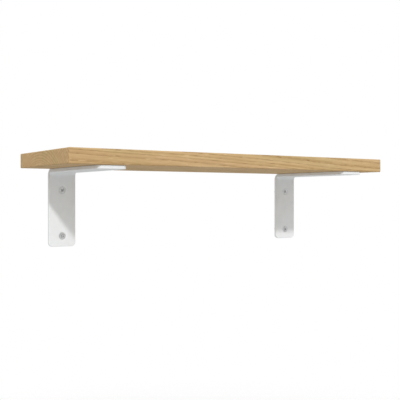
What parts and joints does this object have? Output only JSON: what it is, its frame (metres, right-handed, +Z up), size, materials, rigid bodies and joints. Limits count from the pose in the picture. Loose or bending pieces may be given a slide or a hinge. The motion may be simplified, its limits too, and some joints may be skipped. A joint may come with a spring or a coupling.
{
  "type": "wall shelf with brackets",
  "caption": "Wooden wall shelf board on white L-shaped flat bar brackets, screwed up into the board and back into the wall.",
  "frame": {"origin": "on the wall plane, at the centre of the four wall screws, 62.5 mm below the underside of the board", "axes": "+X along the board to the right as seen from the front, +Y into the wall, +Z up"},
  "size_m": [0.53, 0.1934, 0.13],
  "materials": {
    "board_wood": "light oak, sanded and lightly oiled",
    "bracket_coating": "white powder coat, satin, on bent steel flat bar",
    "screw_steel": "bright zinc-plated steel"
  },
  "bodies": {
    "root": {"board": "board_wood", "bracket_left": "bracket_coating", "bracket_right": "bracket_coating", "board_screw_left_rear": "screw_steel", "board_screw_left_front": "screw_steel", "board_screw_right_rear": "screw_steel", "board_screw_right_front": "screw_steel", "wall_screw_left_upper": "screw_steel", "wall_screw_left_lower": "screw_steel", "wall_screw_right_upper": "screw_steel", "wall_screw_right_lower": "screw_steel"}
  },
  "joints": []
}
